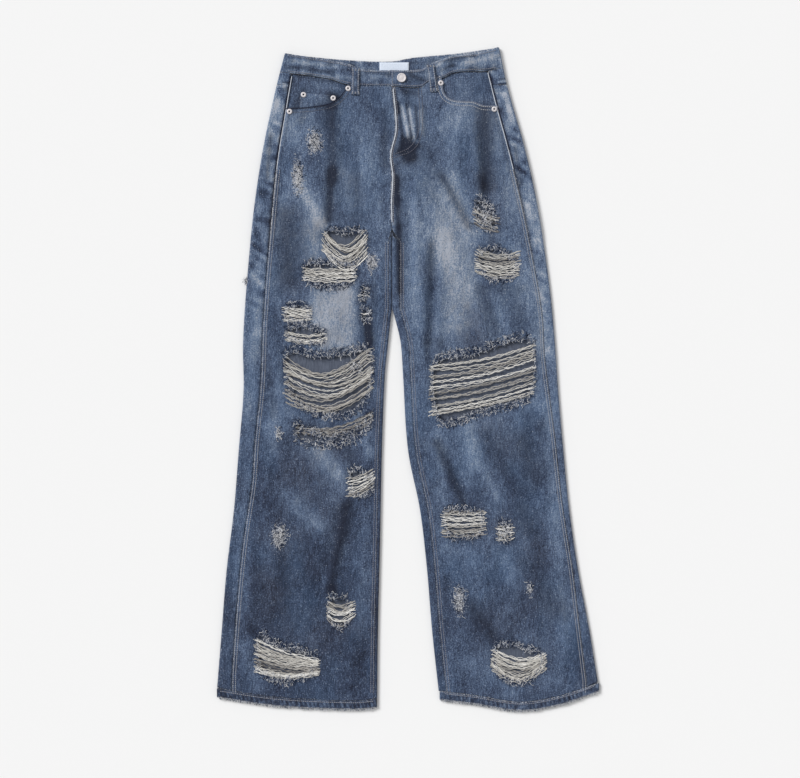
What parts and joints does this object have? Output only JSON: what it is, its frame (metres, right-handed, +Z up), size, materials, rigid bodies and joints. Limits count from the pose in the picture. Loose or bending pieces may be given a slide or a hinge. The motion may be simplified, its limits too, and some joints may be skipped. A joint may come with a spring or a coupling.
{
  "type": "ripped jeans",
  "caption": "Wide-leg ripped denim jeans laid flat, front up, with torn knees, frayed openings, five-pocket front, belt loops and turned hems.",
  "frame": {"origin": "on the floor under the middle of the garment's box", "axes": "+Z up out of the front of the jeans, +Y from the hems towards the waist, +X towards the wearer's left leg"},
  "size_m": [0.6296, 1.092, 0.0152],
  "materials": {
    "denim_front": "washed and faded indigo twill, worn pale on the thighs and knees",
    "denim_back": "washed indigo twill, a little darker",
    "denim_trim": "doubled indigo twill with worn, puckered edges",
    "pocket_denim": "indigo twill with stitched edges",
    "rip_yarn": "loose undyed cotton yarns, ecru with tan stains",
    "seam_thread": "faded brown-grey sewing thread",
    "label_cotton": "plain pale woven cotton, blank",
    "nickel": "aged nickel, softly polished"
  },
  "bodies": {
    "root": {"front_panel_right": "denim_front", "front_panel_left": "denim_front", "back_panel_right": "denim_back", "back_panel_left": "denim_back", "yoke_right": "denim_back", "yoke_left": "denim_back", "waistband": "denim_trim", "hem_right": "denim_trim", "hem_left": "denim_trim", "pocket_facing_right": "pocket_denim", "pocket_facing_left": "pocket_denim", "coin_pocket": "pocket_denim", "belt_loop_front_right": "denim_trim", "belt_loop_front_left": "denim_trim", "belt_loop_back_right": "denim_trim", "belt_loop_back_centre": "denim_trim", "belt_loop_back_left": "denim_trim", "back_pocket_right": "pocket_denim", "back_pocket_left": "pocket_denim", "size_label": "label_cotton", "waist_button": "nickel", "rivet_1": "nickel", "rivet_2": "nickel", "rivet_3": "nickel", "rivet_4": "nickel", "rivet_5": "nickel", "rivet_6": "nickel"}
  },
  "joints": []
}
